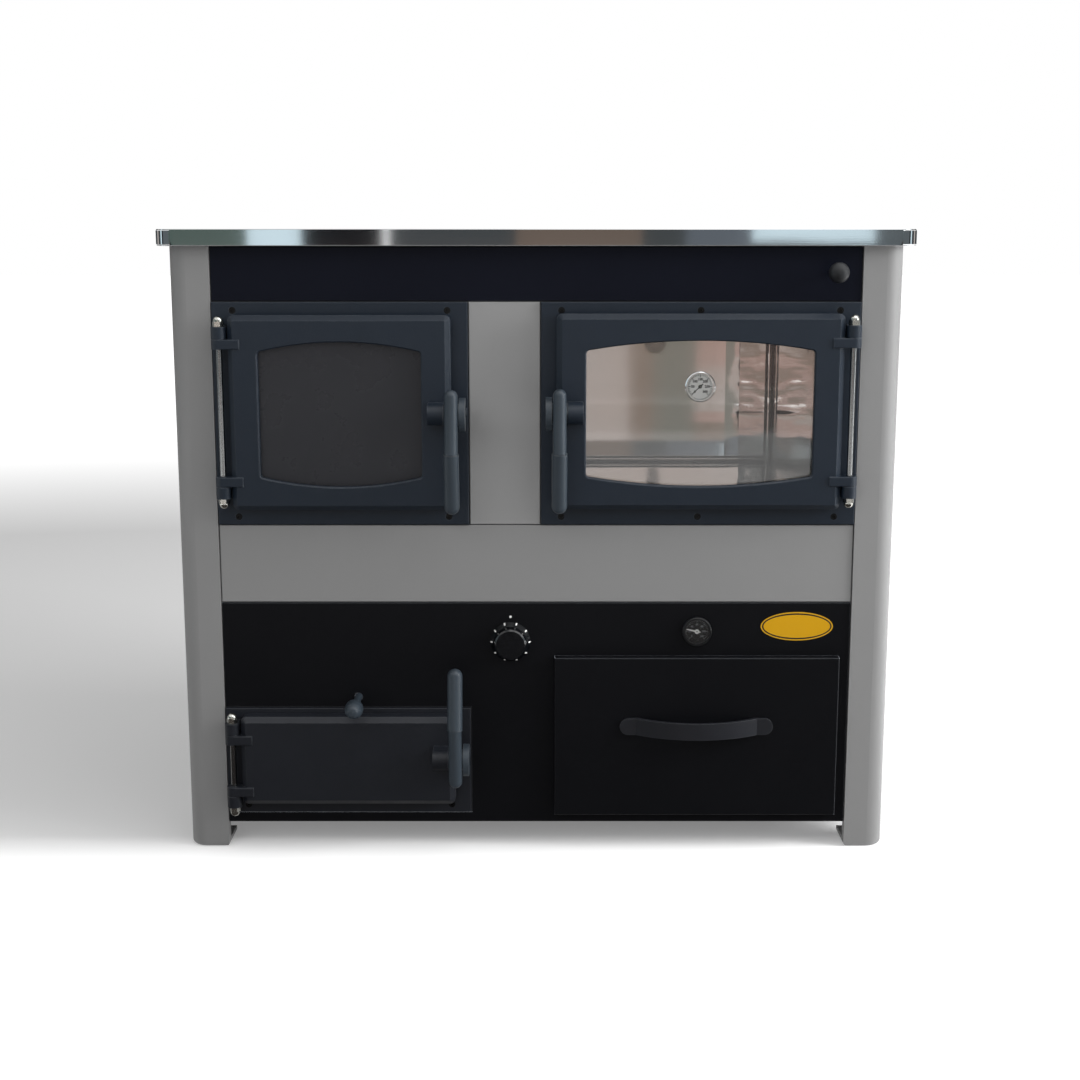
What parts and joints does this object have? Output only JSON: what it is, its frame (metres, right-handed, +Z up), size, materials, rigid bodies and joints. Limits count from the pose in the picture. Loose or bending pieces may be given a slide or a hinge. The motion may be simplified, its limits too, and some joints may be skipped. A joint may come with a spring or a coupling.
{
  "type": "wood cookstove",
  "caption": "Freestanding wood-fired cookstove with glazed firebox and oven doors, an ash door, a wood drawer and a steel-rimmed hob on corner pillars.",
  "frame": {"origin": "on the floor under the middle of the whole stove", "axes": "+X to the right seen from the front, +Y to the back, +Z up"},
  "size_m": [0.999, 0.76, 0.853],
  "materials": {
    "grey_paint": "satin grey paint",
    "black_paint": "satin black paint",
    "cast_charcoal": "charcoal stove paint on cast iron",
    "lever_black": "black enamelled lever",
    "polished_rim": "polished steel",
    "hob_iron": "ground cast iron",
    "boiler_steel": "primed boiler plate",
    "cabinet_steel": "grey primed sheet",
    "oven_stainless": "bright stainless sheet",
    "galvanised": "galvanised sheet",
    "bright_steel": "zinc-plated fastener",
    "fire_glass": "smoked heat-proof glass",
    "oven_glass": "clear heat-proof glass",
    "lens": "clear lens",
    "rope_seal": "woven glass-fibre rope",
    "black_plastic": "moulded black plastic",
    "dial_chrome": "bright gauge case",
    "dial_black": "black gauge case",
    "pointer_white": "white pointer",
    "pointer_black": "black pointer"
  },
  "bodies": {
    "cabinet": {"front_left_pillar": "grey_paint", "front_right_pillar": "grey_paint", "rear_left_pillar": "grey_paint", "rear_right_pillar": "grey_paint", "left_side_panel": "grey_paint", "right_side_panel": "grey_paint", "back_panel": "cabinet_steel", "base_plate": "cabinet_steel", "front_wall": "boiler_steel", "top_fascia": "black_paint", "center_strip": "grey_paint", "middle_band": "grey_paint", "lower_panel": "black_paint", "hob_rim": "polished_rim", "hob_plate": "hob_iron", "firebox_door_frame": "cast_charcoal", "oven_door_frame": "cast_charcoal", "ash_door_frame": "cast_charcoal", "hinge_pins": "bright_steel", "hinge_nuts": "bright_steel", "frame_screws": "black_paint", "boiler_walls": "boiler_steel", "boiler_sockets": "boiler_steel", "ash_pan": "galvanised", "oven_box": "oven_stainless", "flue_casing": "boiler_steel", "flue_collar": "boiler_steel", "drawer_runners": "galvanised", "thermostat_body": "black_plastic", "boiler_gauge_case": "dial_black", "boiler_gauge_lens": "lens"},
    "firebox_door": {"firebox_door": "cast_charcoal", "firebox_glass": "fire_glass", "firebox_door_seal": "rope_seal", "firebox_glass_clips": "bright_steel", "firebox_handle_pin": "bright_steel"},
    "firebox_lever": {"firebox_handle": "lever_black"},
    "oven_door": {"oven_door": "cast_charcoal", "oven_glass": "oven_glass", "oven_door_seal": "rope_seal", "oven_glass_clips": "bright_steel", "oven_handle_pin": "bright_steel", "oven_gauge_case": "dial_chrome", "oven_gauge_lens": "lens"},
    "oven_lever": {"oven_handle": "lever_black"},
    "oven_needle": {"oven_gauge_needle": "pointer_black"},
    "ash_door": {"ash_door": "cast_charcoal", "ash_door_seal": "rope_seal", "ash_handle_pin": "bright_steel"},
    "ash_lever": {"ash_handle": "lever_black"},
    "wood_drawer": {"drawer_box": "galvanised", "drawer_front": "black_paint", "drawer_handle": "lever_black"},
    "damper": {"damper_rod": "bright_steel", "damper_knob": "black_plastic"},
    "thermostat": {"thermostat_knob": "black_plastic"},
    "shaking_grate": {"grate": "hob_iron", "grate_shaker": "lever_black"},
    "hob_lid": {"hob_lid": "hob_iron"},
    "boiler_needle": {"boiler_gauge_needle": "pointer_white"}
  },
  "joints": [
    {"name": "firebox_door_hinge", "type": "hinge", "parent": "cabinet", "child": "firebox_door", "pos_m": [-0.418, -0.318, 0.612], "axis": [0, 0, -1], "range_deg": [0, 120]},
    {"name": "firebox_lever_pivot", "type": "hinge", "parent": "firebox_door", "child": "firebox_lever", "pos_m": [-0.11101, -0.344, 0.61362], "axis": [-1, 0, 0], "range_deg": [0, 28]},
    {"name": "oven_door_hinge", "type": "hinge", "parent": "cabinet", "child": "oven_door", "pos_m": [0.418, -0.318, 0.6135], "axis": [0, 0, 1], "range_deg": [0, 120]},
    {"name": "oven_lever_pivot", "type": "hinge", "parent": "oven_door", "child": "oven_lever", "pos_m": [0.03039, -0.344, 0.61462], "axis": [-1, 0, 0], "range_deg": [0, 28]},
    {"name": "oven_needle_turn", "type": "hinge", "parent": "oven_door", "child": "oven_needle", "pos_m": [0.21649, -0.32, 0.6481], "axis": [0, 1, 0], "range_deg": [-2, 268]},
    {"name": "ash_door_hinge", "type": "hinge", "parent": "cabinet", "child": "ash_door", "pos_m": [-0.418, -0.318, 0.1325], "axis": [0, 0, -1], "range_deg": [0, 120]},
    {"name": "ash_lever_pivot", "type": "hinge", "parent": "ash_door", "child": "ash_lever", "pos_m": [-0.10951, -0.344, 0.14147], "axis": [1, 0, 0], "range_deg": [0, 28]},
    {"name": "wood_drawer_slide", "type": "slide", "parent": "cabinet", "child": "wood_drawer", "axis": [0, -1, 0], "range_m": [0, 0.4]},
    {"name": "damper_pull", "type": "slide", "parent": "cabinet", "child": "damper", "axis": [0, -1, 0], "range_m": [0, 0.06]},
    {"name": "thermostat_turn", "type": "hinge", "parent": "cabinet", "child": "thermostat", "pos_m": [-0.03551, -0.3, 0.2963], "axis": [0, 1, 0], "range_deg": [-135, 135]},
    {"name": "grate_shake", "type": "slide", "parent": "cabinet", "child": "shaking_grate", "axis": [0, -1, 0], "range_m": [0, 0.04]},
    {"name": "hob_lid_lift", "type": "slide", "parent": "cabinet", "child": "hob_lid", "axis": [0, 0, 1], "range_m": [0, 0.15]},
    {"name": "boiler_needle_turn", "type": "hinge", "parent": "cabinet", "child": "boiler_needle", "pos_m": [0.21999, -0.3, 0.31068], "axis": [0, 1, 0], "range_deg": [-57, 213]}
  ]
}
